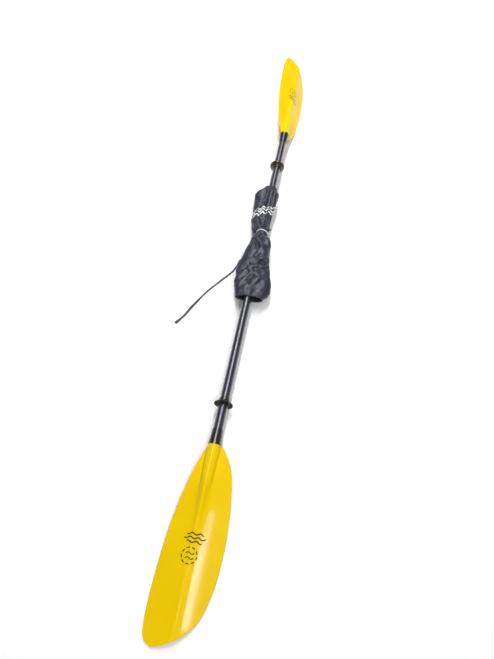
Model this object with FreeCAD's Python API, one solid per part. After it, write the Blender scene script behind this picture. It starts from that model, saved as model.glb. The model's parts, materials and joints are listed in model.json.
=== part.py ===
import FreeCAD, Part
import math
import os

from FreeCAD import Rotation, Vector

# A two-piece kayak paddle that lies on the floor, with a pair of fabric hand covers over
# the middle of its shaft. Millimetres. It is built with the shaft's axis along +Y and
# Y = 0 at the middle of its length, then it is tipped until both blades touch the floor.
# The near half points to -Y, and the far half, which is feathered, to +Y.

# ---- driving dimensions -------------------------------------------------------------
TOTAL_LENGTH = 2400.0
BLADE_LENGTH = 509.0
FEATHER_DEG = 50.0  # roll of the far blade about the shaft, its right edge down
SHAFT_R = 14.3
SHAFT_WALL = 1.2
TUBE_IN_BLADE = 82.0
GLUE_GAP = 0.05
RUNNING_GAP = 0.05
SLIDE_GAP = 0.08

BLADE_EDGE = 3.0  # thickness at the rim
BLADE_CREST = 5.5  # thickness along the middle
BLADE_SLOPE = 0.208  # how steeply each side falls away from the crest
CREST_RADIUS = 10.0
TIP_DROP = 3.0
NECK_R = 18.6

SLEEVE_LENGTH = 49.0
SLEEVE_LIP = 1.2

RING_NEAR_Y = -544.5
RING_FAR_Y = 476.5
RING_RIM_R = 28.5
RING_LENGTH = 18.0

GASKET = 1.5
PLUG_DEPTH = 80.0
PLUG_BOND = 60.0
LINER_LENGTH = 85.0
LINER_WALL = 1.1
PLUG_WALL = 1.5
BUTTON_R = 3.05
BUTTON_Y = -50.0
BUTTON_PROUD = 1.7

COVER_WALL = 2.0
HEM_LENGTH = 7.0
HEM_WALL = 3.0
CUFF_LENGTH = 16.0
CUFF_R = 14.7
NEAR_MOUTH_Y = -167.0
WAIST_Y = 125.0
WAIST_GAP = 2.0
FAR_MOUTH_Y = 363.0

STRAP_R = 2.5

HALF = TOTAL_LENGTH / 2.0
NECK_Y = HALF - BLADE_LENGTH
TUBE_INNER_R = SHAFT_R - SHAFT_WALL
ALONG = Vector(0, 1, 0)

# The blade's outline, from the right of its neck round the tip to the left of its neck:
# distance from the neck along the blade, and distance to the right of the shaft's axis.
BLADE_OUTLINE = [
    (0, 25.5), (19, 40), (65, 62.5), (147, 77), (237, 83), (306, 81.5), (364, 75.5), (427, 59),
    (468, 32), (497, -10), (508.5, -45), (495, -67.5), (455, -77), (379, -78.5), (268, -74),
    (174, -63.5), (75, -43.5), (0, -19.5),
]

# The half-tube socket along the blade: distance from the neck, outer radius.
SOCKET_PROFILE = [(0, NECK_R), (50, 17.8), (100, 16.2), (150, 12.4), (200, 7.6), (245, 3.8), (285, 1.2)]

# Hand covers: distance from the mouth towards the waist, then how far the cloth stands
# from the shaft's axis to the left, right, up and down. At the waist they are drawn in.
NEAR_COVER = [
    (0, 44, 51, 19.5, 18), (14, 47, 63, 20, 21), (45, 54, 71, 21, 28), (90, 58, 64, 22, 32),
    (150, 55, 51, 22, 32), (200, 47, 43, 22, 30), (245, 36, 39, 22, 27), (275, 28, 30, 21, 24),
]
FAR_COVER = [
    (0, 38, 23, 20, 18.5), (14, 50, 31, 20.5, 22), (36, 58, 32, 21, 31), (80, 57, 27, 22, 35),
    (125, 53, 24, 22, 35), (170, 50, 23, 22, 32), (200, 46, 23, 22, 28), (221, 38, 24, 21, 24),
]
WAIST_REACH = (21, 22, 20, 22)

# The webbing tail: the points of its route, with Z from the floor.
STRAP_ROUTE = [
    (-59, -18, 41), (-68, -38, 32), (-83, -53, 20), (-104, -70, 9.5), (-124, -94, 4.0),
    (-142, -121, 3.0), (-158, -150, 3.0), (-172, -180, 3.0), (-186, -208, 3.0),
    (-197, -236, 3.0), (-209, -258, 3.0), (-220, -275, 3.0),
]


# ---- small helpers ------------------------------------------------------------------
def rod(radius, y0, y1):
    """A cylinder on the shaft's axis."""
    return Part.makeCylinder(radius, y1 - y0, Vector(0, y0, 0), ALONG)


def pipe(outer, inner, y0, y1):
    """A tube on the shaft's axis."""
    return rod(outer, y0, y1).cut(rod(inner, y0, y1))


def revolved(profile):
    """Turn a closed outline of (radius, y) corners about the shaft's axis."""
    corners = [Vector(r, y, 0) for r, y in profile]
    face = Part.Face(Part.makePolygon(corners + corners[:1]))
    return face.revolve(Vector(0, 0, 0), ALONG, 360)


def spline_edge(points):
    """A smooth edge through the points."""
    curve = Part.BSplineCurve()
    curve.interpolate(points)
    return curve.toShape()


def mirrored_to_near(shape):
    """The same piece at the other end of the paddle."""
    return shape.mirror(Vector(0, 0, 0), ALONG)


# ---- blades -------------------------------------------------------------------------
def crest_height(across, along):
    """Height of the blade's middle surface: two sides that fall from a rounded crest."""
    fall = BLADE_SLOPE * (math.hypot(across, CREST_RADIUS) - CREST_RADIUS)
    bent = max(along - TUBE_IN_BLADE, 0.0) / (BLADE_LENGTH - TUBE_IN_BLADE)
    return -fall - TIP_DROP * bent ** 2


def half_thickness(across):
    """Half of the blade's thickness, which swells under the crest."""
    swell = (BLADE_CREST - BLADE_EDGE) * math.exp(-((across / 22.0) ** 2))
    return 0.5 * (BLADE_EDGE + swell)


def plate_section(along):
    """A closed section across the blade, wider than the blade itself."""
    across = [-100, -70, -45, -25, -12, 0, 12, 25, 45, 70, 100]
    top = [Vector(u, along, crest_height(u, along) + half_thickness(u)) for u in across]
    low = [Vector(u, along, crest_height(u, along) - half_thickness(u)) for u in across]
    edges = [
        spline_edge(top),
        Part.makeLine(top[-1], low[-1]),
        spline_edge(low[::-1]),
        Part.makeLine(low[0], top[0]),
    ]
    return Part.Wire(edges)


def blade_outline_prism():
    """The blade's plan shape, extruded through the curved plate."""
    depth = 120.0
    points = [Vector(u, v, -depth / 2) for v, u in BLADE_OUTLINE]
    wire = Part.Wire([spline_edge(points), Part.makeLine(points[-1], points[0])])
    return Part.Face(wire).extrude(Vector(0, 0, depth))


def blade_socket():
    """The half-tube that takes the shaft and fades into the crest."""
    points = [Vector(r, v, 0) for v, r in SOCKET_PROFILE]
    start, end = Vector(0, points[0].y, 0), Vector(0, points[-1].y, 0)
    edges = [Part.makeLine(start, points[0]), spline_edge(points), Part.makeLine(points[-1], end)]
    edges.append(Part.makeLine(end, start))
    return Part.Face(Part.Wire(edges)).revolve(Vector(0, 0, 0), ALONG, 360)


def blade():
    """One moulded blade with its neck at Y = 0 and its tip towards +Y."""
    stations = [-15.0, 60.0, 130.0, 200.0, 270.0, 340.0, 410.0, 470.0, 530.0]
    plate = Part.makeLoft([plate_section(v) for v in stations], True)
    plate = plate.common(blade_outline_prism())
    body = plate.fuse(blade_socket())
    return body.cut(rod(SHAFT_R + GLUE_GAP, -1.0, TUBE_IN_BLADE))


def neck_sleeve():
    """The tapered collar between shaft and blade, its wide end at Y = 0 on the blade."""
    bore = SHAFT_R + GLUE_GAP
    thin = SHAFT_R + SLEEVE_LIP
    half = 0.5 * SLEEVE_LENGTH
    return revolved([(bore, 0), (NECK_R, 0), (thin + 1.3, -half), (thin, -SLEEVE_LENGTH), (bore, -SLEEVE_LENGTH)])


# ---- shaft and ferrule --------------------------------------------------------------
def hole_through_wall(angle_deg):
    """A button hole through one side of the tube, at an angle above +X."""
    way = Vector(math.cos(math.radians(angle_deg)), 0, math.sin(math.radians(angle_deg)))
    return Part.makeCylinder(BUTTON_R + RUNNING_GAP, SHAFT_R + 2, Vector(0, BUTTON_Y, 0), way)


def near_shaft_tube():
    tube = pipe(SHAFT_R, TUBE_INNER_R, -NECK_Y - TUBE_IN_BLADE, 0)
    for step in range(3):
        tube = tube.cut(hole_through_wall(FEATHER_DEG * step))
    return tube


def far_shaft_tube():
    return pipe(SHAFT_R, TUBE_INNER_R, GASKET, NECK_Y + TUBE_IN_BLADE)


def ferrule_socket():
    outer = TUBE_INNER_R - GLUE_GAP
    liner = pipe(outer, outer - LINER_WALL, -LINER_LENGTH, 0)
    for step in range(3):
        liner = liner.cut(hole_through_wall(FEATHER_DEG * step))
    return liner


def ferrule_plug():
    bonded = TUBE_INNER_R - GLUE_GAP
    turning = bonded - LINER_WALL - RUNNING_GAP
    bore = turning - PLUG_WALL
    plug = revolved([
        (bore, -PLUG_DEPTH), (turning - 0.8, -PLUG_DEPTH), (turning, -PLUG_DEPTH + 2),
        (turning, GASKET), (bonded, GASKET), (bonded, GASKET + PLUG_BOND), (bore, GASKET + PLUG_BOND),
    ])
    return plug.cut(hole_through_wall(0))


def ferrule_gasket():
    return pipe(SHAFT_R, TUBE_INNER_R - LINER_WALL, 0, GASKET)


def snap_button():
    """A domed pin with a flange that keeps it inside the plug."""
    plug_bore = TUBE_INNER_R - GLUE_GAP - LINER_WALL - RUNNING_GAP - PLUG_WALL
    flange_top = plug_bore - 0.15
    out = SHAFT_R + BUTTON_PROUD
    way = Vector(1, 0, 0)
    pin = Part.makeCylinder(BUTTON_R, out - 0.8 - flange_top + 1, Vector(flange_top - 1, BUTTON_Y, 0), way)
    dome = Part.makeCone(BUTTON_R, BUTTON_R - 1.0, 0.8, Vector(out - 0.8, BUTTON_Y, 0), way)
    flange = Part.makeCylinder(BUTTON_R + 0.7, 1.0, Vector(flange_top - 1.9, BUTTON_Y, 0), way)
    return pin.fuse([dome, flange]).removeSplitter()


def button_spring():
    """A V of flat spring steel behind the button, seen edge-on in the XY plane."""
    thick = 0.6
    wide = 6.0
    inner = [(7.7, BUTTON_Y - 6), (7.7, BUTTON_Y + 6), (0.0, BUTTON_Y + 34), (-9.2, BUTTON_Y + 2)]
    outer = [(-9.2 + thick, BUTTON_Y + 2), (0.0, BUTTON_Y + 34 - 3 * thick), (7.7 - thick, BUTTON_Y + 5.6), (7.7 - thick, BUTTON_Y - 6)]
    corners = [Vector(x, y, -wide / 2) for x, y in inner + outer]
    return Part.Face(Part.makePolygon(corners + corners[:1])).extrude(Vector(0, 0, wide))


def tube_plug():
    """Foam that keeps water out of a tube, near its blade end."""
    start = NECK_Y + 20.0
    return rod(TUBE_INNER_R - GLUE_GAP, start, start + 40.0)


def drip_ring():
    """A rubber cup that grips the shaft at Y = 0 and opens towards +Y."""
    bore = SHAFT_R + SLIDE_GAP
    return revolved([
        (bore, 0), (bore + 2.2, 0), (bore + 2.6, 7), (bore + 5.5, 9.5), (RING_RIM_R - 1.2, RING_LENGTH - 3.6),
        (RING_RIM_R, RING_LENGTH - 0.8), (RING_RIM_R - 0.8, RING_LENGTH), (RING_RIM_R - 3.0, RING_LENGTH - 2.0),
        (bore + 6.0, RING_LENGTH - 5.6), (bore + 2.4, RING_LENGTH - 6.4), (bore, RING_LENGTH - 6.4),
    ])


# ---- hand covers --------------------------------------------------------------------
def cloth_section(y, left, right, up, down, inset=0.0):
    """A closed section round the shaft, a rounded oval with its own centre."""
    count = 20
    squareness = 2.3
    middle = Vector(0.5 * (right - left), y, 0.5 * (up - down))
    wide = 0.5 * (left + right) - inset
    high = 0.5 * (up + down) - inset
    points = []
    for step in range(count):
        turn = 2 * math.pi * step / count
        c, s = math.cos(turn), math.sin(turn)
        x = math.copysign(abs(c) ** (2 / squareness), c) * wide
        z = math.copysign(abs(s) ** (2 / squareness), s) * high
        points.append(middle + Vector(x, 0, z))
    curve = Part.BSplineCurve()
    curve.interpolate(points, PeriodicFlag=True)
    return Part.Wire([curve.toShape()])


def at_distance(stations, distance):
    """The four reaches of a cover at any distance from its mouth, in between its stations."""
    for first, second in zip(stations, stations[1:]):
        if distance <= second[0]:
            share = (distance - first[0]) / (second[0] - first[0])
            return [a + (b - a) * share for a, b in zip(first[1:], second[1:])]
    return list(stations[-1][1:])


def cloth_tube(stations, mouth_y, way, start, end, wall):
    """The part of a cover between two distances from its mouth, as a hollow tube."""
    inside = [s for s in stations if start < s[0] < end]
    ends = [(start, *at_distance(stations, start)), (end, *at_distance(stations, end))]
    rows = [ends[0], *inside, ends[1]]
    outer = [cloth_section(mouth_y + way * d, *reach) for d, *reach in rows]
    inner = [cloth_section(mouth_y + way * d, *reach, inset=wall) for d, *reach in rows]
    return Part.makeLoft(outer, True).cut(Part.makeLoft(inner, True))


def cover_shell(stations, mouth_y, way):
    return cloth_tube(stations, mouth_y, way, HEM_LENGTH, stations[-1][0], COVER_WALL)


def cover_hem(stations, mouth_y, way):
    return cloth_tube(stations, mouth_y, way, 0, HEM_LENGTH, HEM_WALL)


def cover_cuff(stations, mouth_y, way):
    """The bunched narrow end that grips the shaft."""
    start = mouth_y + way * stations[-1][0]
    rows = [
        cloth_section(start, *stations[-1][1:]),
        cloth_section(start + way * CUFF_LENGTH / 2, *WAIST_REACH),
        cloth_section(start + way * CUFF_LENGTH, *WAIST_REACH),
    ]
    low, high = sorted((start - way, start + way * (CUFF_LENGTH + 1)))
    return Part.makeLoft(rows, True).cut(rod(CUFF_R, low, high))


def waist_cord():
    """An elastic cord round the far cover's cuff."""
    turn = 1.6
    reach = [r + turn + 0.1 for r in WAIST_REACH]
    y = WAIST_Y + WAIST_GAP / 2 + 3.0
    outer = [cloth_section(y + s * turn, *reach, inset=-turn) for s in (-1, 1)]
    inner = [cloth_section(y + s * turn, *reach, inset=turn) for s in (-1, 1)]
    return Part.makeLoft(outer, True).cut(Part.makeLoft(inner, True))


# ---- webbing tail -------------------------------------------------------------------
def strap_tube(route, radius):
    """A round tube along straight runs and tangent arcs, as large as the runs allow."""
    points = [Vector(*p) for p in route]
    edges, start = [], points[0]
    for before, corner, after in zip(points, points[1:], points[2:]):
        come, go = (corner - before), (after - corner)
        shorter = 0.45 * min(come.Length, go.Length)
        turn = come.getAngle(go)
        print("strap bend radius %.1f" % (shorter / math.tan(turn / 2)))
        come.normalize()
        go.normalize()
        arc_start, arc_end = corner - come * shorter, corner + go * shorter
        inward = (go - come).normalize()
        sagitta = shorter / math.tan(turn / 2) * (1 / math.cos(turn / 2) - 1)
        edges.append(Part.LineSegment(start, arc_start).toShape())
        edges.append(Part.Arc(arc_start, corner + inward * sagitta, arc_end).toShape())
        start = arc_end
    edges.append(Part.LineSegment(start, points[-1]).toShape())
    path = Part.Wire(edges)
    ring = Part.Wire([Part.makeCircle(radius, points[0], points[1] - points[0])])
    tube = path.makePipeShell([ring], True, False)
    print("strap length %.1f volume ratio %.4f" % (path.Length, tube.Volume / (math.pi * radius ** 2 * path.Length)))
    return tube


def block_along(end, way, length, width, height, lift=0.0):
    """A small rounded block of webbing that starts at a point and runs along a direction."""
    block = Part.makeBox(length, width, height, Vector(0, -width / 2, -height / 2))
    upright = [e for e in block.Edges if abs(e.tangentAt(0).z) > 0.9]
    block = block.makeFillet(0.3 * width, upright)
    block.Placement.Rotation = Rotation(Vector(1, 0, 0), way)
    block.Placement.Base = end + Vector(0, 0, lift)
    return block


def strap_anchor():
    """The sewn tab on the cover that the tail comes out of."""
    first, second = (Vector(*p) for p in STRAP_ROUTE[:2])
    return block_along(first, first - second, 14.0, 4.0, 10.0)


def strap_end():
    """The folded and stitched end of the tail."""
    before, last = (Vector(*p) for p in STRAP_ROUTE[-2:])
    return block_along(last, last - before, 14.0, 10.0, 4.4)


# ---- the whole paddle ---------------------------------------------------------------
def far_blade_place(shape):
    shape = shape.copy()
    shape.translate(Vector(0, NECK_Y, 0))
    shape.rotate(Vector(0, 0, 0), ALONG, FEATHER_DEG)
    return shape


def moved_along(shape, y):
    shape = shape.copy()
    shape.translate(Vector(0, y, 0))
    return shape


def shaft_pieces():
    """Every piece that is built on the shaft's axis."""
    one_blade = blade()
    sleeve = moved_along(neck_sleeve(), NECK_Y)
    ring = drip_ring()
    near_end = NEAR_MOUTH_Y, 1
    far_end = FAR_MOUTH_Y, -1
    return {
        "near_blade": mirrored_to_near(moved_along(one_blade, NECK_Y)),
        "near_neck_sleeve": mirrored_to_near(sleeve),
        "near_shaft_tube": near_shaft_tube(),
        "near_tube_plug": mirrored_to_near(tube_plug()),
        "ferrule_socket": ferrule_socket(),
        "near_drip_ring": mirrored_to_near(moved_along(ring, -RING_NEAR_Y)),
        "far_blade": far_blade_place(one_blade),
        "far_neck_sleeve": sleeve,
        "far_shaft_tube": far_shaft_tube(),
        "far_tube_plug": tube_plug(),
        "ferrule_plug": ferrule_plug(),
        "ferrule_gasket": ferrule_gasket(),
        "button_spring": button_spring(),
        "snap_button": snap_button(),
        "far_drip_ring": moved_along(ring, RING_FAR_Y),
        "near_cover": cover_shell(NEAR_COVER, *near_end),
        "near_cover_hem": cover_hem(NEAR_COVER, *near_end),
        "near_cover_cuff": cover_cuff(NEAR_COVER, *near_end),
        "far_cover": cover_shell(FAR_COVER, *far_end),
        "far_cover_hem": cover_hem(FAR_COVER, *far_end),
        "far_cover_cuff": cover_cuff(FAR_COVER, *far_end),
        "waist_cord": waist_cord(),
    }


def lowest(shape, tilt_deg):
    """The lowest Z of a piece after the paddle is tipped about X."""
    copy = shape.copy()
    copy.rotate(Vector(0, 0, 0), Vector(1, 0, 0), tilt_deg)
    return copy.optimalBoundingBox(False, False).ZMin


def resting_tilt(near, far):
    """The tilt at which both blades touch the floor."""
    low, high = 0.0, 4.0
    for _ in range(18):
        middle = 0.5 * (low + high)
        if lowest(near, middle) > lowest(far, middle):
            low = middle
        else:
            high = middle
    return 0.5 * (low + high)


def whole_box(shapes):
    box = FreeCAD.BoundBox()
    for shape in shapes:
        box.add(shape.optimalBoundingBox(False, False))
    return box


def main():
    os.makedirs("parts", exist_ok=True)
    pieces = shaft_pieces()
    tilt = resting_tilt(pieces["near_blade"], pieces["far_blade"])
    for shape in pieces.values():
        shape.rotate(Vector(0, 0, 0), Vector(1, 0, 0), tilt)
    box = whole_box(pieces.values())
    to_origin = Vector(-box.Center.x, -box.Center.y, -box.ZMin)
    print("tilt %.4f deg, moved by %.3f %.3f %.3f" % (tilt, to_origin.x, to_origin.y, to_origin.z))
    for shape in pieces.values():
        shape.translate(to_origin)
    on_floor = {
        "strap_anchor": strap_anchor(),
        "pull_strap": strap_tube(STRAP_ROUTE, STRAP_R),
        "strap_end": strap_end(),
    }
    for shape in on_floor.values():
        shape.translate(Vector(to_origin.x, to_origin.y, 0))
    pieces.update(on_floor)
    for name, shape in pieces.items():
        print("%-18s valid %s solids %d volume %.0f" % (name, shape.isValid(), len(shape.Solids), shape.Volume))
        shape.exportStep("parts/%s.step" % name)


main()
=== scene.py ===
import json
import math

import bmesh
import bpy
import numpy as np
from mathutils import Matrix, Vector, noise
from mathutils.bvhtree import BVHTree


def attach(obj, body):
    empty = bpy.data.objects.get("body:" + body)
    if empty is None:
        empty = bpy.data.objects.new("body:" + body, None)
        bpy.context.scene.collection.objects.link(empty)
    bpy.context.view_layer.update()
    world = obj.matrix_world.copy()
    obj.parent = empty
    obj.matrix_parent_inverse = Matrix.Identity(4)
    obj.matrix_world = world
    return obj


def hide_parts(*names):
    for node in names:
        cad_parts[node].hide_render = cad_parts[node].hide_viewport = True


# The looks of a kayak paddle that lies on the floor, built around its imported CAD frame.
# Everything is in metres, unless a section says millimetres. Most pieces are made in the
# shaft's own frame, whose +Y is the shaft's axis towards the far blade, and are then placed
# by SHAFT.

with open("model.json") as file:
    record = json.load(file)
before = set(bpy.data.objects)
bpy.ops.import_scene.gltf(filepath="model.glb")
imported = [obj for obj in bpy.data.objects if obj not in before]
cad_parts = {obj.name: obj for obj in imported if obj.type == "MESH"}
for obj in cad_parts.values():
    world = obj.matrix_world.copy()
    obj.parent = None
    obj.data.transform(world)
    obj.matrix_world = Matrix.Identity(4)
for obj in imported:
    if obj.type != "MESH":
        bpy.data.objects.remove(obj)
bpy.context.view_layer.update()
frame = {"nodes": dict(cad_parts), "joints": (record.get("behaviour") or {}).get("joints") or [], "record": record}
MM = 0.001
JOINTS = {joint["name"]: joint for joint in frame["joints"]}


# ---- the frame ----------------------------------------------------------------------
def shaft_matrix():
    """The shaft's own frame: its origin is the middle of the paddle, +Y the shaft's axis."""
    axis = Vector(JOINTS["feather_twist"]["axis"]).normalized()
    across = Vector((1, 0, 0))
    turned = Matrix((across, axis, across.cross(axis))).transposed()
    return Matrix.Translation(Vector(JOINTS["feather_twist"]["pos_m"])) @ turned.to_4x4()


SHAFT = shaft_matrix()
FEATHER = math.radians(-0.5 * JOINTS["feather_twist"]["range_deg"][0])


def in_shaft_frame(*nodes):
    """The vertices of CAD nodes, in the shaft's frame."""
    back = np.array(SHAFT.inverted())
    points = np.array([v.co for n in nodes for v in frame["nodes"][n].data.vertices])
    return points @ back[:3, :3].T + back[:3, 3]


def span(*nodes):
    """Where CAD nodes start and end along the shaft."""
    along = in_shaft_frame(*nodes)[:, 1]
    return float(along.min()), float(along.max())


def outer_radius(node):
    """The largest distance of a CAD node from the shaft's axis."""
    points = in_shaft_frame(node)
    return float(np.hypot(points[:, 0], points[:, 2]).max())


SHAFT_R = outer_radius("far_shaft_tube")
NECK_NEAR = span("near_blade")[1]
NECK_FAR = span("far_blade")[0]
BLADE_LENGTH = span("far_blade")[1] - NECK_FAR
TUBE_IN_BLADE = span("far_shaft_tube")[1] - NECK_FAR

# ---- mesh helpers -------------------------------------------------------------------
def new_object(name, points, faces, smooth=True):
    """A mesh object from points and faces, linked to the scene."""
    mesh = bpy.data.meshes.new(name)
    mesh.from_pydata([tuple(p) for p in points], [], faces)
    mesh.validate()
    mesh.update()
    made = bpy.data.objects.new(name, mesh)
    bpy.context.scene.collection.objects.link(made)
    if smooth:
        mesh.polygons.foreach_set("use_smooth", [True] * len(mesh.polygons))
    return made


def outward(made):
    """Turn all faces of a closed mesh outwards."""
    bm = bmesh.new()
    bm.from_mesh(made.data)
    bmesh.ops.remove_doubles(bm, verts=bm.verts, dist=1e-6)
    bmesh.ops.recalc_face_normals(bm, faces=bm.faces)
    bm.to_mesh(made.data)
    bm.free()
    return made


def apply_modifiers(made):
    """Replace an object's mesh by what its modifiers make of it."""
    graph = bpy.context.evaluated_depsgraph_get()
    graph.update()
    fresh = bpy.data.meshes.new_from_object(made.evaluated_get(graph))
    made.modifiers.clear()
    made.data = fresh
    fresh.polygons.foreach_set("use_smooth", [True] * len(fresh.polygons))


def tube_faces(rings, around, closed_along=False):
    """Quads between rings of points that each close on themselves."""
    faces = []
    for i in range(rings if closed_along else rings - 1):
        for j in range(around):
            a, b = i * around, ((i + 1) % rings) * around
            k = (j + 1) % around
            faces.append((a + j, a + k, b + k, b + j))
    return faces


def capped_tube(rings, around):
    """A tube's quads, with a face over each end."""
    last = (rings - 1) * around
    faces = tube_faces(rings, around)
    faces.append(tuple(range(around)))
    faces.append(tuple(last + k for k in range(around))[::-1])
    return faces


def finish_piece(made, body, slot, *nodes):
    """Place a piece on its body and hide the CAD nodes that it stands for; the slot is not used."""
    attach(made, body)
    if nodes:
        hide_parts(*nodes)
    return made


# ---- materials ----------------------------------------------------------------------
class Shader:
    """A material's node tree with short ways to add nodes."""

    def __init__(self, name):
        self.material = bpy.data.materials.new(name)
        self.material.use_nodes = True
        self.tree = self.material.node_tree
        self.skin = self.tree.nodes["Principled BSDF"]
        self.place = self.tree.nodes.new("ShaderNodeTexCoord").outputs["Object"]

    def set(self, **values):
        """Constants straight on the surface shader's sockets."""
        for key, value in values.items():
            self.skin.inputs[key.replace("_", " ")].default_value = value

    def join(self, source, target):
        """Link an output to an input."""
        self.tree.links.new(source, target)

    def stretched(self, scale):
        """The object's coordinates, scaled along each axis."""
        node = self.tree.nodes.new("ShaderNodeMapping")
        node.inputs["Scale"].default_value = scale
        self.join(self.place, node.inputs["Vector"])
        return node.outputs["Vector"]

    def noise(self, scale, detail=4.0, place=None, roughness=0.5):
        """Soft noise from 0 to 1."""
        node = self.tree.nodes.new("ShaderNodeTexNoise")
        node.inputs["Scale"].default_value = scale
        node.inputs["Detail"].default_value = detail
        node.inputs["Roughness"].default_value = roughness
        self.join(place or self.place, node.inputs["Vector"])
        return node.outputs["Fac"]

    def wave(self, scale, direction):
        """Even sine bands along one axis."""
        node = self.tree.nodes.new("ShaderNodeTexWave")
        node.bands_direction = direction
        node.inputs["Scale"].default_value = scale
        self.join(self.place, node.inputs["Vector"])
        return node.outputs["Fac"]

    def math(self, operation, first, second=None):
        """One operation on outputs or numbers."""
        node = self.tree.nodes.new("ShaderNodeMath")
        node.operation = operation
        for socket, value in zip(node.inputs, (first, second)):
            if value is None:
                continue
            if isinstance(value, (int, float)):
                socket.default_value = value
            else:
                self.join(value, socket)
        return node.outputs[0]

    def ramp(self, source, stops):
        """Colours at stops of a value from 0 to 1."""
        node = self.tree.nodes.new("ShaderNodeValToRGB")
        ramp = node.color_ramp
        while len(ramp.elements) < len(stops):
            ramp.elements.new(0.5)
        for element, (at, colour) in zip(ramp.elements, stops):
            element.position = at
            element.color = (*colour, 1.0)
        self.join(source, node.inputs["Fac"])
        return node.outputs["Color"]

    def between(self, source, low, high):
        """A value from 0 to 1, spread from low to high."""
        node = self.tree.nodes.new("ShaderNodeMapRange")
        node.inputs["To Min"].default_value = low
        node.inputs["To Max"].default_value = high
        self.join(source, node.inputs["Value"])
        return node.outputs["Result"]

    def mix(self, share, first, second):
        """The first colour where share is 0, the second where it is 1."""
        node = self.tree.nodes.new("ShaderNodeMix")
        node.data_type = "RGBA"
        self.join(share, node.inputs["Factor"])
        for socket, value in ((node.inputs["A"], first), (node.inputs["B"], second)):
            if isinstance(value, tuple):
                socket.default_value = (*value, 1.0)
            else:
                self.join(value, socket)
        return node.outputs["Result"]

    def bump(self, height, strength, distance, below=None):
        """Relief from a height, over another relief."""
        node = self.tree.nodes.new("ShaderNodeBump")
        node.inputs["Strength"].default_value = strength
        node.inputs["Distance"].default_value = distance
        self.join(height, node.inputs["Height"])
        if below is not None:
            self.join(below, node.inputs["Normal"])
        self.join(node.outputs["Normal"], self.skin.inputs["Normal"])
        return node.outputs["Normal"]

    def colour(self, source):
        """Use an output as the surface's colour."""
        self.join(source, self.skin.inputs["Base Color"])

    def roughness(self, source):
        """Use an output as the surface's roughness."""
        self.join(source, self.skin.inputs["Roughness"])


def blade_plastic():
    """Glossy yellow nylon with faint mottling, a moulded grain and fine scratches."""
    s = Shader("yellow_plastic")
    s.set(IOR=1.16, Coat_Weight=0.13, Coat_Roughness=0.06)
    mottled = s.noise(9.0, 3.0)
    s.colour(s.ramp(mottled, [(0.3, (0.75, 0.50, 0.0012)), (0.7, (0.80, 0.54, 0.0016))]))
    scratched = s.noise(60.0, 8.0, s.stretched((1.0, 0.06, 1.0)))
    s.roughness(s.between(scratched, 0.22, 0.4))
    grain = s.bump(s.noise(900.0, 2.0), 0.05, 0.0004)
    s.bump(scratched, 0.04, 0.0006, grain)
    return s.material


def black_plastic():
    """Satin black plastic with a fine moulded grain."""
    s = Shader("black_plastic")
    s.set(IOR=1.8)
    s.colour(s.ramp(s.noise(40.0), [(0.3, (0.003, 0.003, 0.004)), (0.7, (0.007, 0.007, 0.009))]))
    s.roughness(s.between(s.noise(120.0), 0.25, 0.4))
    s.bump(s.noise(1400.0, 2.0), 0.12, 0.0003)
    return s.material


def shaft_coating():
    """Gloss black coating with faint lengthwise marks and dust."""
    s = Shader("shaft_black")
    s.set(IOR=1.75, Coat_Weight=1.0, Coat_IOR=1.75, Coat_Roughness=0.35)
    s.set(Specular_Tint=(0.72, 0.76, 1.0, 1.0))
    s.colour(s.ramp(s.noise(30.0), [(0.35, (0.002, 0.002, 0.004)), (0.75, (0.005, 0.005, 0.009))]))
    marks = s.noise(90.0, 6.0, s.stretched((1.0, 0.05, 1.0)))
    s.roughness(s.between(marks, 0.25, 0.4))
    s.bump(marks, 0.06, 0.0004)
    return s.material


def smoky_rubber():
    """Dark olive-brown rubber that lets a little light through its thin rim."""
    s = Shader("smoky_rubber")
    s.set(IOR=1.5, Transmission_Weight=0.12, Roughness=0.3, Coat_Weight=0.3)
    s.colour(s.ramp(s.noise(60.0), [(0.3, (0.014, 0.011, 0.006)), (0.7, (0.070, 0.043, 0.014))]))
    s.bump(s.noise(500.0, 3.0), 0.15, 0.0004)
    return s.material


def woven(s, pitch, strength, depth, below=None):
    """The bump of a plain weave of that pitch, from threads that cross, over another bump."""
    turns = 0.5 / pitch / math.pi
    warp = s.wave(turns, "X")
    weft = s.wave(turns, "Y")
    s.bump(s.math("MULTIPLY", warp, weft), strength, depth, below)


def nylon(name, band=False):
    """Coated charcoal nylon: a fine weave over creases, and a printed wave band if asked."""
    s = Shader(name)
    s.set(Sheen_Weight=0.04, Sheen_Roughness=0.45, IOR=1.52)
    mottled = s.noise(26.0, 6.0, roughness=0.62)
    cloth = s.ramp(mottled, [(0.3, (0.011, 0.011, 0.021)), (0.7, (0.028, 0.028, 0.050))])
    s.roughness(s.between(s.noise(55.0, 5.0), 0.34, 0.5))
    if band:
        cloth = s.mix(printed_band(s), cloth, (0.9, 0.9, 0.9))
    s.colour(cloth)
    creased = s.bump(s.noise(30.0, 5.0, s.stretched((1.0, 0.75, 1.0))), 0.3, 0.006)
    woven(s, 0.0009, 0.25, 0.0003, creased)
    return s.material


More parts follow.
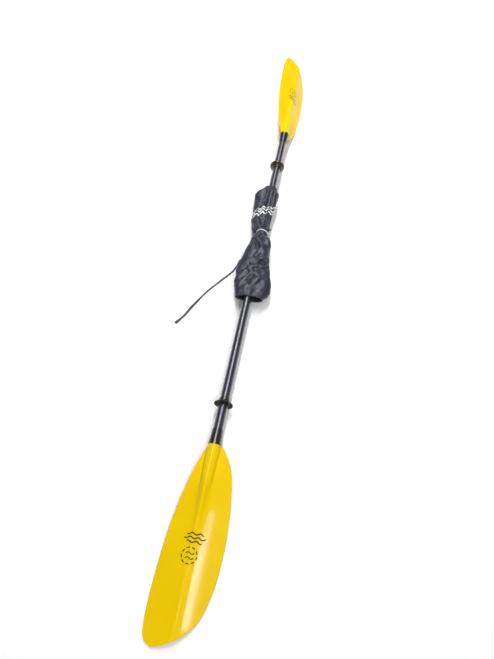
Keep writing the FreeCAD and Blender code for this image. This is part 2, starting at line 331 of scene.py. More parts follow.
def printed_band(s):
    """White wave strokes in a slanting band round the far cover, as a mask."""
    rows, half_stroke = (-0.0125, 0.0, 0.0125), 0.0029
    wave_length, wave_height = 0.021, 0.0052
    towards_waist, tilt, least_ink = 0.024, 0.45, 0.46
    split = s.tree.nodes.new("ShaderNodeSeparateXYZ")
    s.join(s.place, split.inputs["Vector"])
    across, along = split.outputs["X"], split.outputs["Y"]
    middle = sum(span("far_cover")) / 2 - towards_waist
    centre = (SHAFT @ Vector((-0.013, middle, 0))).xyz
    slant = s.math("MULTIPLY", s.math("SUBTRACT", across, centre.x), tilt)
    level = s.math("SUBTRACT", s.math("SUBTRACT", along, centre.y), slant)
    phase = s.math("MULTIPLY", across, 2 * math.pi / wave_length)
    swing = s.math("MULTIPLY", s.math("SINE", phase), wave_height)
    mask = None
    for shift in rows:
        off = s.math("ABSOLUTE", s.math("SUBTRACT", s.math("SUBTRACT", level, shift), swing))
        stroke = s.math("LESS_THAN", off, half_stroke)
        mask = stroke if mask is None else s.math("MAXIMUM", mask, stroke)
    worn = s.math("GREATER_THAN", s.noise(210.0, 2.0), least_ink)
    return s.math("MULTIPLY", mask, worn)


def hem_binding():
    """Charcoal gathered elastic, coarser than the cloth."""
    s = Shader("hem_elastic")
    s.set(Sheen_Weight=0.2, Roughness=0.8)
    s.colour(s.ramp(s.noise(80.0), [(0.3, (0.016, 0.016, 0.021)), (0.7, (0.040, 0.039, 0.050))]))
    woven(s, 0.0011, 0.5, 0.0004)
    return s.material


def braided(name, dark, light):
    """Braided or flat woven cord."""
    s = Shader(name)
    s.set(Roughness=0.75, Sheen_Weight=0.2)
    s.colour(s.ramp(s.noise(220.0, 3.0), [(0.3, dark), (0.7, light)]))
    woven(s, 0.0010, 0.6, 0.0004)
    return s.material


def metal(name, colour, low, high):
    """Turned metal with fine marks round it, rough between low and high."""
    s = Shader(name)
    s.set(Metallic=1.0, Base_Color=(*colour, 1.0))
    turned = s.noise(160.0, 5.0, s.stretched((1.0, 0.08, 1.0)))
    s.roughness(s.between(turned, low, high))
    s.bump(turned, 0.1, 0.0002)
    return s.material


def foam():
    """Pale grey closed-cell foam."""
    s = Shader("foam_plug")
    s.set(Roughness=0.9)
    s.colour(s.ramp(s.noise(300.0, 3.0), [(0.3, (0.42, 0.42, 0.40)), (0.7, (0.60, 0.60, 0.57))]))
    s.bump(s.noise(700.0, 3.0), 0.6, 0.0008)
    return s.material


def print_ink():
    """Black ink that takes the blade's gloss."""
    s = Shader("black_print")
    s.set(IOR=1.3)
    s.colour(s.ramp(s.noise(400.0, 3.0), [(0.3, (0.003, 0.003, 0.002)), (0.7, (0.010, 0.009, 0.004))]))
    s.roughness(s.between(s.noise(150.0), 0.3, 0.5))
    return s.material


def floor_paint():
    """A plain pale studio floor."""
    s = Shader("pale_floor")
    s.set(Base_Color=(0.93, 0.93, 0.93, 1.0), Roughness=0.85, Specular_IOR_Level=0.2)
    return s.material


PAINT = {
    "yellow_plastic": blade_plastic(),
    "black_plastic": black_plastic(),
    "shaft_black": shaft_coating(),
    "ferrule_metal": metal("ferrule_metal", (0.70, 0.71, 0.73), 0.25, 0.45),
    "spring_steel": metal("spring_steel", (0.62, 0.62, 0.62), 0.18, 0.35),
    "foam_plug": foam(),
    "smoky_rubber": smoky_rubber(),
    "cover_nylon": nylon("cover_nylon"),
    "banded_nylon": nylon("banded_nylon", band=True),
    "hem_elastic": hem_binding(),
    "white_cord": braided("white_cord", (0.60, 0.60, 0.60), (0.85, 0.85, 0.85)),
    "webbing": braided("webbing", (0.035, 0.037, 0.036), (0.095, 0.102, 0.098)),
    "black_print": print_ink(),
}


def paint(made, name):
    """Give a piece its finish."""
    made.data.materials.clear()
    made.data.materials.append(PAINT[name])


def paint_cad_nodes():
    """Give every CAD node its slot's finish."""
    slots = {row["node"]: row["material_slot"] for row in frame["record"]["subparts"]}
    for name, made in frame["nodes"].items():
        for place in made.material_slots:
            place.material = PAINT[slots[name]]


# ---- camera, light and floor --------------------------------------------------------
CAMERA_LENS = 30.95
CAMERA_RIGHT = 0.1995
CAMERA_BEHIND_TIP = 0.077
CAMERA_HEIGHT = 1.5023
LOOK_DOWN = 56.23
LOOK_LEFT = 10.26
LIGHT_HEIGHT = 3.0
FLOOR_REACH = 12.0


def make_camera():
    """A person's view from above the near blade's tip, down along the shaft."""
    data = bpy.data.cameras.new("camera")
    data.lens = CAMERA_LENS
    data.sensor_width = 36.0
    data.sensor_fit = "AUTO"
    made = bpy.data.objects.new("camera", data)
    bpy.context.scene.collection.objects.link(made)
    near_tip = span("near_blade")[0]
    made.location = SHAFT @ Vector((CAMERA_RIGHT, near_tip - CAMERA_BEHIND_TIP, CAMERA_HEIGHT))
    down, left = math.radians(LOOK_DOWN), math.radians(LOOK_LEFT)
    look = Vector((-math.sin(left) * math.cos(down), math.cos(left) * math.cos(down), -math.sin(down)))
    look = SHAFT.to_3x3() @ look
    right = look.cross(SHAFT.col[2].xyz).normalized()
    turned = Matrix((right, right.cross(look), -look)).transposed()
    made.rotation_mode = "QUATERNION"
    made.rotation_quaternion = turned.to_quaternion()
    bpy.context.scene.camera = made


def area_light(name, place, width, length, power, aim=None):
    """A strip light over a place on the floor, its length along Y as far as its aim allows."""
    data = bpy.data.lights.new(name, "AREA")
    data.shape = "RECTANGLE"
    data.size, data.size_y, data.energy = width, length, power
    aim = Vector((*(aim or place), 0))
    place = Vector((*place, LIGHT_HEIGHT))
    made = bpy.data.objects.new(name, data)
    made.location = place
    made.rotation_mode = "QUATERNION"
    behind = (place - aim).normalized()
    along = (Vector((0, 1, 0)) - behind * behind.y).normalized()
    turned = Matrix((along.cross(behind), along, behind)).transposed()
    made.rotation_quaternion = turned.to_quaternion()
    bpy.context.scene.collection.objects.link(made)


def soft_sun(towards, strength, angle):
    """Even light from a far, wide lamp in that direction."""
    data = bpy.data.lights.new("far_lamp", "SUN")
    data.energy = strength
    data.angle = math.radians(angle)
    made = bpy.data.objects.new("far_lamp", data)
    made.rotation_mode = "QUATERNION"
    made.rotation_quaternion = (-Vector(towards)).to_track_quat("-Z", "Y")
    bpy.context.scene.collection.objects.link(made)


def make_studio():
    """A pale floor under strip lights that lie along the shaft, and a faint cool sky."""
    size = FLOOR_REACH
    corners = [(-size, -size, 0), (size, -size, 0), (size, size, 0), (-size, size, 0)]
    floor = new_object("floor", corners, [(0, 1, 2, 3)], smooth=False)
    floor.data.materials.append(floor_paint())
    world = bpy.data.worlds.new("studio")
    world.use_nodes = True
    sky = world.node_tree.nodes["Background"]
    sky.inputs["Color"].default_value = (0.96, 0.97, 1.0, 1)
    sky.inputs["Strength"].default_value = 0.12
    bpy.context.scene.world = world
    area_light("overhead_strip", (-0.19, 0.9), 0.3, 2.4, 72.0)
    area_light("far_strip", (-0.19, 3.9), 0.6, 3.6, 68.0)
    area_light("front_box", (-0.5, -2.9), 1.4, 1.4, 18.0, aim=(0.0, -0.7))
    area_light("blade_strip", (0.903, -0.7), 0.014, 0.72, 5.2)
    area_light("blade_strip", (0.937, -0.6), 0.014, 0.92, 5.2)
    soft_sun((0.32, -0.6, 0.74), 1.35, 18)
    bpy.context.scene.view_settings.view_transform = "Standard"


# ---- webbing tail -------------------------------------------------------------------
# The tail's route from its tab to its end, in metres: across and along from the middle of
# the shaft, and up from the floor.
STRAP_ROUTE = [
    (-0.059, -0.018, 0.041), (-0.068, -0.038, 0.032), (-0.083, -0.053, 0.020),
    (-0.104, -0.070, 0.0095), (-0.124, -0.094, 0.0044), (-0.142, -0.121, 0.0041),
    (-0.158, -0.150, 0.0041), (-0.172, -0.180, 0.0041), (-0.186, -0.208, 0.0036),
    (-0.197, -0.236, 0.0024), (-0.209, -0.258, 0.0016), (-0.220, -0.275, 0.0014),
]
STRAP_WIDTH = 0.008
STRAP_THICK = 0.0013
# The webbing's section, in half widths and half thicknesses.
STRAP_SECTION = [
    (1, 0.4), (0.94, 1), (0, 1.08), (-0.94, 1), (-1, 0.4),
    (-1, -0.4), (-0.94, -1), (0, -1.08), (0.94, -1), (1, -0.4),
]


def strap_line():
    """Points along the smooth spline that the route controls, in the row's frame."""
    shift = Vector((SHAFT.translation.x, SHAFT.translation.y, 0))
    curve = bpy.data.curves.new("strap_route", "CURVE")
    curve.dimensions = "3D"
    curve.resolution_u = 12
    spline = curve.splines.new("NURBS")
    spline.points.add(len(STRAP_ROUTE) - 1)
    for point, place in zip(spline.points, STRAP_ROUTE):
        point.co = (*(Vector(place) + shift), 1.0)
    spline.order_u = 3
    spline.use_endpoint_u = True
    route = bpy.data.objects.new("strap_route", curve)
    line = bpy.data.meshes.new_from_object(route)
    points = [v.co.copy() for v in line.vertices]
    bpy.data.objects.remove(route)
    return points


def make_strap():
    """Flat webbing that stands on edge from its tab on, and lies down at its end."""
    line = strap_line()
    on_edge, lies_from, lies_down_in = math.radians(78), 0.55, 0.3
    points = []
    count = len(line)
    for i, centre in enumerate(line):
        ahead = (line[min(i + 1, count - 1)] - line[max(i - 1, 0)]).normalized()
        side = ahead.cross(Vector((0, 0, 1))).normalized()
        above = side.cross(ahead)
        share = i / (count - 1)
        upright = min(1.0, max(0.0, 1 - (share - lies_from) / lies_down_in))
        wide = side * math.cos(on_edge * upright) + above * math.sin(on_edge * upright)
        flat = ahead.cross(wide)
        for a, b in STRAP_SECTION:
            points.append(centre + wide * (a * STRAP_WIDTH / 2) + flat * (b * STRAP_THICK / 2))
    strap_faces = capped_tube(count, len(STRAP_SECTION))
    strap = outward(new_object("pull_strap_webbing", points, strap_faces))
    paint(strap, "webbing")
    finish_piece(strap, "near_sleeve", "webbing", "pull_strap")
    end = make_strap_end(line)


def make_strap_end(line):
    """The tail's end, folded back on itself and stitched across."""
    ahead = (line[-1] - line[-6]).normalized()
    ahead.z = 0
    ahead.normalize()
    side = ahead.cross(Vector((0, 0, 1)))
    start = line[-1] - ahead * 0.012
    start.z = 0.0004
    length, layer, half_width, turns = 0.014, STRAP_THICK, 0.0049, 8
    outline = []
    for k in range(turns + 1):
        turn = math.pi * k / turns - math.pi / 2
        outline.append((length + layer * math.cos(turn), layer + layer * math.sin(turn)))
    outline += [(0.001, 2 * layer), (0.0, 1.7 * layer), (0.0, 1.3 * layer)]
    outline += [(length - 0.001, 1.05 * layer), (length - 0.001, 0.95 * layer)]
    outline += [(0.0, 0.9 * layer), (-0.004, 0.8 * layer), (-0.004, 0.0)]
    points = []
    stations = (-1, -0.9, -0.3, 0.3, 0.9, 1)
    for place in stations:
        trim = 0.0 if abs(place) < 0.95 else 0.00015
        for x, z in outline:
            rise = Vector((0, 0, z + (trim if z < layer else -trim)))
            points.append(start + ahead * x + side * (place * half_width) + rise)
    faces = capped_tube(len(stations), len(outline))
    end = outward(new_object("strap_end_fold", points, faces))
    paint(end, "webbing")
    return finish_piece(end, "near_sleeve", "webbing", "strap_end")


# ---- blades -------------------------------------------------------------------------
# The blade's outline in millimetres: distance from the neck, distance right of the axis.
# The other sizes of this section are in millimetres as well.
RIGHT_EDGE = [
    (0, 25.5), (19, 40), (65, 62.5), (147, 77), (237, 83), (306, 81.5), (364, 75.5), (427, 59),
    (468, 32), (497, -10), (508.7, -45),
]
LEFT_EDGE = [
    (0, -19.5), (75, -43.5), (174, -63.5), (268, -74), (379, -78.5), (455, -77), (495, -67.5),
    (508.7, -45),
]
# The socket round the tube: distance from the neck, radius. It runs out in a long nose.
SOCKET = [(0, 18.6), (50, 17.8), (86, 16.9), (135, 15.0)]
SOCKET_FILLET = 1.0
NOSE_START = 84.0
NOSE_END = 285.0
NOSE_HEIGHT = 13.0
NOSE_WIDTH = 13.5
NOSE_NARROWS = 7
NOSE_FADE = 50.0
BLADE_EDGE = 3.0
BLADE_CREST = 6.4
SWELL_WIDTH = 9.0
EDGE_ROUND = 1.6
BLADE_SLOPE = 0.208
CREST_RADIUS = 5.0
TIP_DROP = 3.0


def smooth_path(points, count):
    """Points at even steps along a smooth curve through the given ones."""
    given = np.array(points, float)
    padded = np.vstack([2 * given[0] - given[1], given, 2 * given[-1] - given[-2]])
    fine = []
    for a, b, c, d in zip(padded, padded[1:], padded[2:], padded[3:]):
        square, cube = 2 * a - 5 * b + 4 * c - d, 3 * b - a - 3 * c + d
        for t in np.linspace(0, 1, 40, endpoint=False):
            fine.append(0.5 * (2 * b + (c - a) * t + square * t ** 2 + cube * t ** 3))
    fine = np.array([*fine, given[-1]])
    reach = np.concatenate([[0], np.cumsum(np.linalg.norm(np.diff(fine, axis=0), axis=1))])
    even = np.linspace(0, reach[-1], count)
    return np.stack([np.interp(even, reach, fine[:, k]) for k in range(2)], 1)


def with_fillet(a, b):
    """The larger of two heights, with a small fillet between them."""
    soft = SOCKET_FILLET
    return 0.5 * (a + b + np.sqrt((a - b) ** 2 + soft ** 2)) - 0.5 * soft * np.exp(-np.abs(a - b) / soft)


def plate_heights(u, v):
    """Top and underside of the moulded plate with its socket, at (u, v) in millimetres."""
    fall = BLADE_SLOPE * (np.hypot(u, CREST_RADIUS) - CREST_RADIUS)
    start = TUBE_IN_BLADE / MM
    bent = np.maximum(v - start, 0) / (BLADE_LENGTH / MM - start)
    middle = -fall - TIP_DROP * bent ** 2
    swell = np.exp(-((u / SWELL_WIDTH) ** 2))
    half = 0.5 * (BLADE_EDGE + (BLADE_CREST - BLADE_EDGE) * swell)
    radius = np.interp(v, [p[0] for p in SOCKET], [p[1] for p in SOCKET])
    dome = np.sqrt(np.maximum(radius ** 2 - u ** 2, 0.0))
    inside = radius > np.abs(u)
    top = np.where(inside, with_fillet(middle + half, dome), middle + half)
    low = np.where(inside, -with_fillet(half - middle, dome), middle - half)
    share = np.clip((v - NOSE_START) / (NOSE_END - NOSE_START), 0, 1)
    nose_width = NOSE_WIDTH - NOSE_NARROWS * share
    nose = NOSE_HEIGHT * (1 - share) ** 2 * (1 + 2 * share) * np.exp(-((u / nose_width) ** 2))
    fade = np.clip((v - NOSE_START) / NOSE_FADE, 0, 1)
    fade = fade * fade * (3 - 2 * fade)
    top = top * (1 - fade) + (middle + half + nose) * fade
    low = low * (1 - fade) + (middle - half - nose) * fade
    return top, low, middle


def blade_grid():
    """Rows of (u, v) from the neck to the tip, with close columns by the rim."""
    rows, columns = 150, 72
    left, right = smooth_path(LEFT_EDGE, rows), smooth_path(RIGHT_EDGE, rows)
    rim = np.array([0, 0.0025, 0.006, 0.011, 0.018])
    inner = np.linspace(0.03, 0.97, columns)
    share = np.concatenate([rim, inner, 1 - rim[::-1]])
    share = share[None, :, None]
    grid = left[:, None, :] * (1 - share) + right[:, None, :] * share
    return grid[:, :, 1], grid[:, :, 0]


def rim_factor(u, v):
    """How much of the plate's half thickness is left, rounded off towards the rim."""
    width = np.hypot(u[:, -1] - u[:, 0], v[:, -1] - v[:, 0])
    step = np.hypot(np.diff(u, axis=1), np.diff(v, axis=1))
    reach = np.concatenate([np.zeros((len(u), 1)), np.cumsum(step, axis=1)], axis=1)
    edge = np.minimum(reach, width[:, None] - reach)
    share = np.clip(edge / EDGE_ROUND, 0, 1)
    return np.sqrt(np.clip(1 - (1 - share) ** 2, 0, 1))


def blade_points():
    """The blade's top and underside, thinned to nothing round the rim and at the tip."""
    u, v = blade_grid()
    top, low, middle = plate_heights(u, v)
    keep = rim_factor(u, v)
    tip = np.clip((np.arange(len(u))[::-1] / 2.0), 0, 1)[:, None]
    keep = keep * np.sqrt(1 - (1 - tip) ** 2)
    top = middle + (top - middle) * keep
    low = middle + (low - middle) * keep
    return np.stack([u, v, top], -1), np.stack([u, v, low], -1)


def to_blade(points, far):
    """From blade millimetres (right, along, up) to the row's frame."""
    local = np.asarray(points, float).reshape(-1, 3) * MM
    if far:
        place = SHAFT @ Matrix.Rotation(FEATHER, 4, "Y") @ Matrix.Translation((0, NECK_FAR, 0))
    else:
        local = local * (1, -1, 1)
        place = SHAFT @ Matrix.Translation((0, NECK_NEAR, 0))
    place = np.array(place)
    return local @ place[:3, :3].T + place[:3, 3]


def make_blade(name, node, body, far):
    """One blade: two grids joined at the neck, with the tube's bore cut out."""
    top, low = blade_points()
    rows, columns = top.shape[:2]
    points = np.concatenate([top.reshape(-1, 3), low.reshape(-1, 3)])
    faces = []
    shift = rows * columns
    for i in range(rows - 1):
        for j in range(columns - 1):
            a, b = i * columns + j, (i + 1) * columns + j
            faces.append((a, a + 1, b + 1, b))
            faces.append((shift + a, shift + b, shift + b + 1, shift + a + 1))
    for j in range(columns - 1):
        faces.append((j, shift + j, shift + j + 1, j + 1))
    made = outward(new_object(name, to_blade(points, far), faces))
    bore_for_tube(made, far)
    paint(made, "yellow_plastic")
    return finish_piece(made, body, "yellow_plastic", node)


def bore_for_tube(made, far):
    """Cut the hole that the shaft's tube is glued into."""
    way = 1 if far else -1
    neck = NECK_FAR if far else NECK_NEAR
    bm = bmesh.new()
    bmesh.ops.create_cone(
        bm, segments=96, radius1=SHAFT_R + 0.0001, radius2=SHAFT_R + 0.0001,
        depth=2 * TUBE_IN_BLADE, cap_ends=True,
    )
    mesh = bpy.data.meshes.new("bore")
    bm.to_mesh(mesh)
    bm.free()
    cutter = bpy.data.objects.new("bore", mesh)
    bpy.context.scene.collection.objects.link(cutter)
    lying = Matrix.Rotation(math.pi / 2 * way, 4, "X")
    cutter.matrix_world = SHAFT @ Matrix.Translation((0, neck, 0)) @ lying
    cut = made.modifiers.new("bore", "BOOLEAN")
    cut.operation, cut.solver, cut.object = "DIFFERENCE", "EXACT", cutter
    bpy.context.view_layer.update()
    apply_modifiers(made)
    bpy.data.objects.remove(cutter)


def stroke_points(path, width):
    """A ribbon of that width along a path on the blade's top, as a thin closed strip."""
    path = np.array(path, float)
    ahead = np.gradient(path, axis=0)
    ahead /= np.linalg.norm(ahead, axis=1)[:, None]
    side = np.stack([-ahead[:, 1], ahead[:, 0]], 1)
    points = []
    for centre, across in zip(path, side):
        for a, lift in ((-0.5, -0.25), (-0.5, 0.10), (0, 0.12), (0.5, 0.10), (0.5, -0.25)):
            u, v = centre + across * a * width
            top = float(plate_heights(np.array([u]), np.array([v]))[0][0])
            points.append((u, v, top + lift))
    return points


def emblem_strokes():
    """A made-up mark: three rows of waves, and a ring of dashes round two small waves."""
    swing = 2.4
    strokes = []
    for row, (v, reach) in enumerate([(243, 22), (253, 28), (263, 20)]):
        u = np.linspace(-reach, reach, 40) + 4
        strokes.append((np.stack([u, v + swing * np.sin(u / 3.4 + row)], 1), 3.2))
    dashes, ring, ring_u, ring_v = 9, 20, -1, 297
    for k in range(dashes):
        turn = np.linspace(0, math.radians(24), 8) + math.radians(360 / dashes * k)
        dash = np.stack([ring * np.cos(turn) + ring_u, ring_v + ring * np.sin(turn)], 1)
        strokes.append((dash, 3.0))
    for v in (ring_v - 6, ring_v + 6):
        u = np.linspace(-11, 11, 24)
        strokes.append((np.stack([u, v + swing * np.sin(u / 3.0)], 1), 2.4))
    return strokes


def make_emblem(name, body, far):
    """The made-up mark, printed on a blade's top."""
    points, faces = [], []
    for path, width in emblem_strokes():
        start = len(points)
        points += stroke_points(path, width)
        faces += [tuple(start + k for k in face) for face in capped_tube(len(path), 5)]
    made = outward(new_object(name, to_blade(points, far), faces))
    paint(made, "black_print")
    return finish_piece(made, body, "black_plastic")


# ---- hand covers --------------------------------------------------------------------
RINGS = 116
AROUND = 144
CLOTH_THICK = 0.0007
WAIST_R = 0.0208
# Where the tail pulls the cloth out.
TUG_PLACE = Vector((-0.058, -0.030, -0.006))
# Folds pressed into the covers' tops, in millimetres in the shaft's frame:
# from (across, along) to (across, along), depth, width.
NEAR_FOLDS = [
    (-14, -30, 24, -21, 9, 8), (24, -21, 47, -6, 9, 8), (5, -50, 28, -60, 8, 8),
    (28, -60, 50, -28, 9, 8), (-22, 84, -2, 44, 9, 7), (8, 102, 24, 68, 8, 7),
    (-46, -72, -26, -46, 5, 7), (-29, -126, 1, -86, 7, 8), (6, -150, 38, -105, 7, 9),
    (-44, -110, -18, -70, 6, 7),
]
FAR_FOLDS = [
    (-26, 335, -33, 255, 9, 9), (2, 325, 6, 252, 9, 9), (-34, 196, -18, 145, 8, 8),
    (12, 214, 19, 150, 8, 8), (-30, 203, 8, 222, 6, 7), (-44, 142, -22, 118, 8, 7),
    (-48, 290, -32, 250, 5, 8),
]
# Facets of the crumpled nylon: from fold to fold in millimetres, slant in degrees, depth in
# millimetres. They wander by a share of their length over FACET_WANDER_REACH, and reach in
# and out from FACET_LEVEL, a share of their depth.
FACETS = [(60, 28, 4.8), (49, -47, 3.6), (76, 96, 3.4)]
FACET_WANDER = 0.5
FACET_WANDER_REACH = 0.07
FACET_LEVEL = 0.4
FACETS_AT_SIDES = 0.3
GATHER_DEPTH = 0.0060
GATHER_REACH = 0.024
TUG_DEPTH = 0.0062
TUG_REACH = 0.025
MOUTH_REACH = 0.017
LEAST_GAP = 0.0024
UNDERSIDE_RISE = 0.0015


def cad_surface(*nodes):
    """The CAD solids' surface in the shaft's frame, for rays."""
    back = np.array(SHAFT.inverted())
    points, faces = [], []
    for name in nodes:
        mesh = frame["nodes"][name].data
        start = len(points)
        points += [(back[:3, :3] @ np.array(v.co) + back[:3, 3]).tolist() for v in mesh.vertices]
        faces += [tuple(start + k for k in p.vertices) for p in mesh.polygons]
    return BVHTree.FromPolygons(points, faces)


def ring_on(surface, y, count, inset):
    """Points round the shaft at y, on the surface and moved in by inset, evenly spaced."""
    fine = 240
    found = []
    for k in range(fine):
        turn = 2 * math.pi * k / fine
        way = Vector((math.sin(turn), 0, math.cos(turn)))
        hit = surface.ray_cast(way * 0.3 + Vector((0, y, 0)), -way)[0]
        radius = math.hypot(hit.x, hit.z) if hit else SHAFT_R
        found.append((way.x * (radius - inset), way.z * (radius - inset)))
    found = np.array([*found, found[0]])
    reach = np.concatenate([[0], np.cumsum(np.linalg.norm(np.diff(found, axis=0), axis=1))])
    even = np.linspace(0, reach[-1], count, endpoint=False)
    return np.stack([np.interp(even, reach, found[:, k]) for k in range(2)], 1)


def crease(place, width):
    """1 along wandering crease lines and 0 on the flat facets between them."""
    wander = place + 0.45 * noise.noise_vector(place * 0.8)
    return max(0.0, 1 - abs(noise.noise(wander)) / width) ** 1.5


def pressed_folds(places, folds):
    """How deep the listed folds press in at (across, along) places, in metres."""
    depth = np.zeros(len(places))
    for x1, y1, x2, y2, deep, wide in folds:
        start, along = np.array((x1, y1)) * MM, np.array((x2 - x1, y2 - y1)) * MM
        length = np.linalg.norm(along)
        along = along / length
        reach = (places - start) @ along
        beyond = np.maximum(np.maximum(-reach, reach - length), 0)
        off = (places - start) @ np.array((-along[1], along[0])) / (wide * MM)
        ridge = 0.5 * np.exp(-(off - 1.9) ** 2)
        profile = np.exp(-off ** 2) - ridge
        depth += deep * MM * profile * np.exp(-(beyond / (wide * MM)) ** 2)
    return depth


def facets_at(x, y, seed):
    """Flat facets with sharp folds between them, where straight waves cross at angles."""
    depth = 0.0
    for index, (length, slant, deep) in enumerate(FACETS):
        place = Vector((x / FACET_WANDER_REACH, y / FACET_WANDER_REACH, seed + 3 * index))
        wander = FACET_WANDER * noise.noise(place)
        angle = math.radians(slant)
        reach = (x * math.cos(angle) + y * math.sin(angle)) / (length * MM) + wander
        depth += deep * MM * (abs(2 * (reach % 1.0) - 1) - FACET_LEVEL)
    return depth


def creases_at(point, waist, seed):
    """How far facets, the waist's gathers and the tail's tug move the cloth in, in metres."""
    x, y, z = point
    turn = math.atan2(x, z)
    gathered = math.exp(-abs(y - waist) / GATHER_REACH)
    pleats = 0.5 + 0.5 * math.sin(9 * turn + 2.0 * math.sin(2 * turn + seed))
    upward = FACETS_AT_SIDES + (1 - FACETS_AT_SIDES) * (z / math.hypot(x, z)) ** 2
    tug = TUG_DEPTH * math.exp(-((Vector(point) - TUG_PLACE).length / TUG_REACH) ** 2)
    return GATHER_DEPTH * gathered * pleats + upward * facets_at(x, y, seed) - tug


def make_cloth_tube(name, nodes, mouth, waist, folds, seed, drawn_mouth):
    """A sleeve of cloth along the CAD cover, creased, and drawn in at its mouth and waist."""
    off_cad, fold_low, fold_blend = 0.0008, 0.004, 0.012
    surface = cad_surface(*nodes)
    rings = []
    for y in np.linspace(mouth, waist, RINGS):
        ring = ring_on(surface, y, AROUND, -off_cad)
        rings.append(np.stack([ring[:, 0], np.full(AROUND, y), ring[:, 1]], 1))
    points = np.concatenate(rings)
    top = np.clip((points[:, 2] + fold_low) / fold_blend, 0, 1)
    depth = top * pressed_folds(points[:, :2], folds)
    depth += [creases_at(p, waist, seed) for p in points]
    radius = np.hypot(points[:, 0], points[:, 2])
    depth += radius * drawn_mouth * np.exp(-((points[:, 1] - mouth) / MOUTH_REACH) ** 2)
    depth = np.where(points[:, 2] < 0, np.maximum(depth, UNDERSIDE_RISE), depth)
    drawn = np.maximum(SHAFT_R + LEAST_GAP, radius - depth) / radius
    points[:, 0::2] *= drawn[:, None]
    made = new_object(name, points, tube_faces(RINGS, AROUND))
    group = made.vertex_groups.new(name="pinned")
    for i in (0, 1, RINGS - 2, RINGS - 1):
        group.add(range(i * AROUND, (i + 1) * AROUND), 1.0, "ADD")
    made.matrix_world = SHAFT
    bpy.context.view_layer.update()
    return made


def shaft_stand_in(near, far):
    """A plain rod for the cloth to rest on while it is simulated."""
    around = 48
    points = []
    for y in np.linspace(near, far, 30):
        for k in range(around):
            turn = 2 * math.pi * k / around
            points.append((SHAFT_R * math.sin(turn), y, SHAFT_R * math.cos(turn)))
    core = new_object("stand_in", points, tube_faces(30, around))
    core.matrix_world = SHAFT
    core.modifiers.new("collision", "COLLISION")
    core.collision.thickness_outer = 0.001
    return core


def smoothed(field, reach):
    """A field on the tube's rings, averaged over its neighbours round and along it."""
    width = 2 * reach + 1
    round_it = sum(np.roll(field, k, axis=1) for k in range(-reach, reach + 1)) / width
    padded = np.pad(round_it, ((reach, reach), (0, 0), (0, 0)), mode="edge")
    return sum(padded[k:k + len(field)] for k in range(width)) / width


def simulate(made, near, far):
    """Let spare cloth buckle over the shaft, and keep it near where it started."""
    frames, most, fold_reach = 20, 0.0007, 11
    rest = np.array([v.co for v in made.data.vertices])
    core = shaft_stand_in(near, far)
    cloth = made.modifiers.new("cloth", "CLOTH")
    cloth.settings.quality = 5
    cloth.settings.mass = 0.1
    cloth.settings.tension_stiffness = 18
    cloth.settings.compression_stiffness = 18
    cloth.settings.shear_stiffness = 8
    cloth.settings.bending_stiffness = 0.5
    cloth.settings.vertex_group_mass = "pinned"
    cloth.settings.shrink_min = -0.04
    cloth.settings.use_pressure = True
    cloth.settings.uniform_pressure_force = 0.6
    cloth.settings.effector_weights.gravity = 0.5
    cloth.collision_settings.collision_quality = 2
    cloth.collision_settings.distance_min = 0.0012
    cloth.collision_settings.use_self_collision = False
    cloth.point_cache.frame_start, cloth.point_cache.frame_end = 1, frames
    scene = bpy.context.scene
    for step in range(1, frames + 1):
        scene.frame_set(step)
    apply_modifiers(made)
    scene.frame_set(1)
    bpy.data.objects.remove(core)
    moved = (np.array([v.co for v in made.data.vertices]) - rest).reshape(RINGS, AROUND, 3)
    moved = (moved - smoothed(moved, fold_reach)).reshape(-1, 3)
    length = np.linalg.norm(moved, axis=1, keepdims=True)
    moved *= most * np.tanh(length / most) / np.maximum(length, 1e-9)
    made.data.vertices.foreach_set("co", (rest + moved).astype(np.float32).ravel())
    made.data.update()


def wrinkle(made, seed):
    """Add fine creases, which the simulation is too coarse for."""
    size, crease_depth, ripple_depth = 0.017, 0.0005, 0.0002
    least = SHAFT_R + 0.0018
    normals = [v.normal.copy() for v in made.data.vertices]
    for v, normal in zip(made.data.vertices, normals):
        place = v.co / size + Vector((3 * seed, seed, 0))
        ripple = ripple_depth * noise.noise(place * 2.3)
        v.co -= normal * (crease_depth * crease(place, 0.25) + ripple)
        radius = math.hypot(v.co.x, v.co.z)
        if radius < least:
            v.co.x *= least / radius
            v.co.z *= least / radius
    made.data.update()


def ring_of(made, index):
    """One ring of a cloth tube, in the shaft's frame."""
    return np.array([made.data.vertices[index * AROUND + k].co for k in range(AROUND)])


def thicken(made):
    """Turn the cloth's surface into a finer, closed sheet, and place it on the shaft."""
    solid = made.modifiers.new("thickness", "SOLIDIFY")
    solid.thickness = CLOTH_THICK
    solid.offset = 1.0
    finer = made.modifiers.new("finer", "SUBSURF")
    finer.levels = finer.render_levels = 1
    apply_modifiers(made)
    made.data.transform(SHAFT)
    made.matrix_world = Matrix.Identity(4)


def evenly(ring, count):
    """A closed ring of points, spread evenly."""
    closed = np.vstack([ring, ring[:1]])
    reach = np.concatenate([[0], np.cumsum(np.linalg.norm(np.diff(closed, axis=0), axis=1))])
    even = np.linspace(0, reach[-1], count, endpoint=False)
    return np.stack([np.interp(even, reach, closed[:, k]) for k in range(3)], 1)


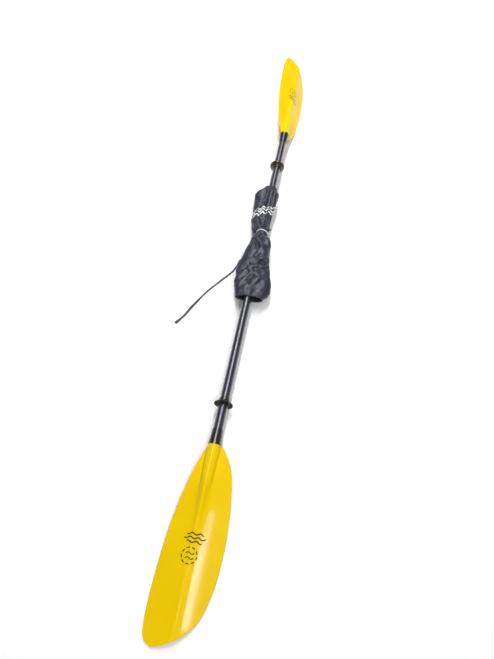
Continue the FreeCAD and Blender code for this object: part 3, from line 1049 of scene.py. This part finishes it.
def make_hem(name, ring, way):
    """A gathered elastic hem along a ring of points: a soft roll with small pleats."""
    steps, section, pleats = 408, 14, 34
    roll, half_width, inset, pleat_depth = 0.0021, 0.0036, 0.0010, 0.0006
    line = evenly(ring, steps)
    middle = line.mean(0)
    points = []
    for k, centre in enumerate(line):
        out = centre - middle
        out[1] = 0
        out /= np.linalg.norm(out)
        turn = 2 * math.pi * k / steps
        pleat = math.sin(pleats * turn + 1.3 * math.sin(5 * turn))
        thick = roll + pleat_depth * pleat
        push = 0.0007 * math.sin(pleats * 0.5 * turn + 0.7)
        for m in range(section):
            angle = 2 * math.pi * m / section
            offset = out * (thick * math.cos(angle) - inset + push)
            along = way * (half_width * math.sin(angle) + pleat_depth * pleat)
            points.append(centre + (offset + np.array([0, along, 0])))
    made = new_object(name, points, tube_faces(steps, section, closed_along=True))
    made.data.transform(SHAFT)
    return outward(made)


def moved_to(point, radius, along):
    """A point at that distance from the shaft's axis, moved along it."""
    start = math.hypot(point[0], point[2])
    return (point[0] * radius / start, point[1] + along, point[2] * radius / start)


def make_cuff(name, ring, way, length):
    """Bunched cloth from a cover's narrow end to the waist, pleated towards the shaft."""
    steps, pleats, pleat_depth = 14, 13, 0.0034
    rows = []
    for i in range(steps):
        share = i / (steps - 1)
        drawn_in = min(1.0, 2 * share)
        row = []
        for j, point in enumerate(ring):
            turn = 2 * math.pi * j / len(ring)
            start = math.hypot(point[0], point[2])
            pleat = 0.5 + 0.5 * math.sin(pleats * turn + 1.8 * math.sin(3 * turn))
            radius = start + (WAIST_R - start) * (drawn_in ** 1.4)
            radius -= pleat_depth * pleat * math.sin(math.pi * min(1, share + 0.2))
            radius = max(SHAFT_R + 0.0015, radius)
            row.append(moved_to(point, radius, way * length * share))
        rows.append(row)
    for share in (1.0, 0.0):
        rows.append([moved_to(point, SHAFT_R + 0.0006, way * length * share) for point in ring])
    points = [p for row in rows for p in row]
    made = new_object(name, points, tube_faces(len(rows), len(ring), closed_along=True))
    made.data.transform(SHAFT)
    return outward(made)


def make_waist_cord():
    """White elastic cord round the gathered waist, sunk into the cloth on its left."""
    steps, section, thick = 240, 12, 0.0019
    on_cloth, most_sunk, slack = 0.0012, 0.0024, 0.0022
    y = sum(span("waist_cord")) / 2
    points = []
    for k in range(steps):
        turn = 2 * math.pi * k / steps
        way = np.array([math.sin(turn), 0, math.cos(turn)])
        sunk = most_sunk * max(0.0, -math.sin(turn + 0.35)) ** 0.5
        centre = way * (WAIST_R + on_cloth - sunk) + np.array([0, y - slack * math.sin(turn), 0])
        for m in range(section):
            angle = 2 * math.pi * m / section
            out, up = way * thick * math.cos(angle), np.array([0, thick * math.sin(angle), 0])
            points.append(centre + out + up)
    made = new_object("waist_cord_braid", points, tube_faces(steps, section, closed_along=True))
    made.data.transform(SHAFT)
    outward(made)
    paint(made, "white_cord")
    return finish_piece(made, "far_sleeve", "white_cord", "waist_cord")


def make_cover(side, way, folds, seed, drawn_mouth, material):
    """One hand cover from its mouth towards its waist: its cloth, its hem and its cuff."""
    body = side + "_sleeve"
    nodes = (side + "_cover", side + "_cover_hem")
    mouth, waist = span(*nodes)[::way]
    behind_hem = 0.003
    start = mouth + way * behind_hem
    cloth = make_cloth_tube(side + "_cover_cloth", nodes, start, waist, folds, seed, drawn_mouth)
    simulate(cloth, min(mouth, waist) - 0.05, max(mouth, waist) + 0.05)
    wrinkle(cloth, seed)
    mouth_ring, waist_ring = ring_of(cloth, 0), ring_of(cloth, RINGS - 1)
    thicken(cloth)
    paint(cloth, material)
    finish_piece(cloth, body, "cover_nylon", side + "_cover")
    hem = make_hem(side + "_cover_hem_roll", mouth_ring, way)
    paint(hem, "hem_elastic")
    finish_piece(hem, body, "hem_elastic", side + "_cover_hem")
    low, high = span(side + "_cover_cuff")
    cuff = make_cuff(side + "_cover_cuff_pleats", waist_ring, way, high - low)
    paint(cuff, "cover_nylon")
    finish_piece(cuff, body, "cover_nylon", side + "_cover_cuff")


# ---- build --------------------------------------------------------------------------
make_camera()
make_strap()
make_studio()
paint_cad_nodes()
make_blade("near_blade_moulding", "near_blade", "near_half", far=False)
make_blade("far_blade_moulding", "far_blade", "far_half", far=True)
make_emblem("near_blade_print", "near_half", far=False)
make_emblem("far_blade_print", "far_half", far=True)
make_cover("near", 1, NEAR_FOLDS, 1.7, 0.10, "cover_nylon")
make_cover("far", -1, FAR_FOLDS, 5.2, 0.30, "banded_nylon")
make_waist_cord()
